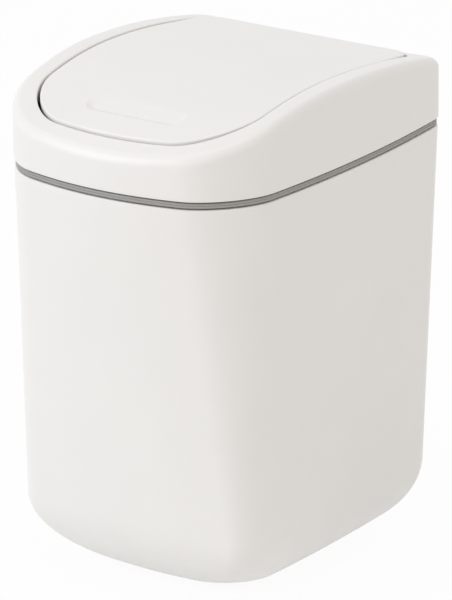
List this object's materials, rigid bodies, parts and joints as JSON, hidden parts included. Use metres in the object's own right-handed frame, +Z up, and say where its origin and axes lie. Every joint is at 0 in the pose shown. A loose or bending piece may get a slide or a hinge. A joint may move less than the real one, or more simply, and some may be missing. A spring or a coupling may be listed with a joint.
{
  "type": "countertop trash can",
  "caption": "Small tapered countertop bin with a bag ring and a lid whose counterweighted flap swings down on side pivots",
  "frame": {"origin": "on the ground below the middle of the bin's bounding box", "axes": "+X to the right seen from the front, -Y to the front where the finger dent is, +Z up"},
  "size_m": [0.1234, 0.1582, 0.204],
  "materials": {
    "white_shell": "satin moulded plastic, warm white",
    "grey_band": "satin moulded plastic, mid grey",
    "inner_plastic": "plain moulded plastic",
    "bush_plastic": "smooth low-friction plastic",
    "pad_rubber": "matt translucent grey",
    "bumper_rubber": "matt",
    "steel": "zinc plated",
    "weight_steel": "plain bar"
  },
  "bodies": {
    "bin": {"body_shell": "white_shell", "foot_pads": "pad_rubber"},
    "ring": {"bag_ring": "grey_band"},
    "lid": {"lid_frame": "white_shell", "hinge_bracket_left": "inner_plastic", "hinge_bracket_right": "inner_plastic", "bracket_screws": "steel", "pivot_bush_left": "bush_plastic", "pivot_bush_right": "bush_plastic", "closing_bumpers": "bumper_rubber", "opening_bumpers": "bumper_rubber"},
    "flap": {"flap_panel": "white_shell", "flap_liner": "inner_plastic", "pivot_pin_left": "steel", "pivot_pin_right": "steel", "counterweight": "weight_steel", "liner_screws": "steel"}
  },
  "joints": [
    {"name": "ring_lift", "type": "slide", "parent": "bin", "child": "ring", "axis": [0, 0, 1], "range_m": [0, 0.045]},
    {"name": "lid_lift", "type": "slide", "parent": "ring", "child": "lid", "axis": [0, 0, 1], "range_m": [0, 0.06]},
    {"name": "flap_swing", "type": "hinge", "parent": "lid", "child": "flap", "pos_m": [0, -0.001, 0.1925], "axis": [1, 0, 0], "range_deg": [0, 65]}
  ]
}
